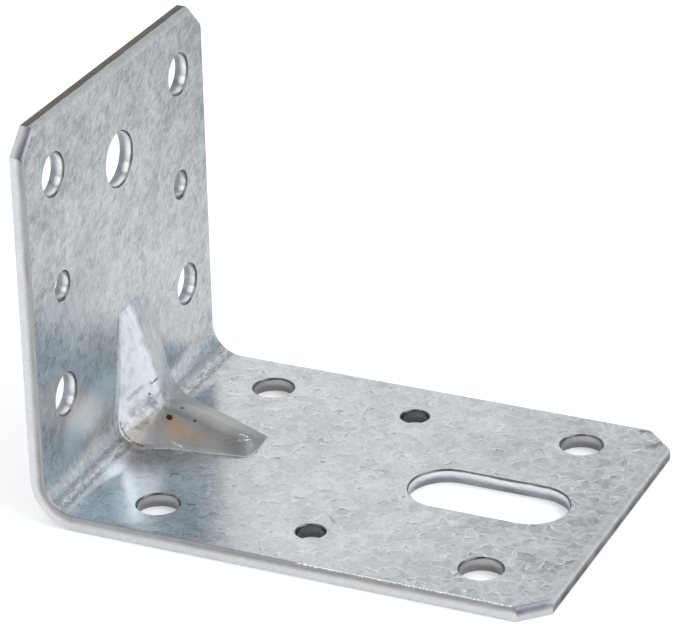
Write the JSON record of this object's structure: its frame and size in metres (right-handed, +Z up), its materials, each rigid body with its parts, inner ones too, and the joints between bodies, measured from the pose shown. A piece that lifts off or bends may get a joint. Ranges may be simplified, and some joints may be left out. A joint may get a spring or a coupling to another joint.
{
  "type": "angle bracket",
  "caption": "Sheet-metal angle bracket with a pressed stiffening rib across its fold, punched with screw, nail and bolt holes and a long slot.",
  "frame": {"origin": "middle of the footprint, on the surface that the base stands on", "axes": "+X from the upright's side towards the base's free end, +Z up along the upright, Y across the sheet"},
  "size_m": [0.09, 0.064, 0.0695],
  "materials": {
    "galvanised_sheet": "hot-dip galvanised sheet, satin, with bare sheared edges"
  },
  "bodies": {
    "root": {"angle_bracket": "galvanised_sheet"}
  },
  "joints": []
}
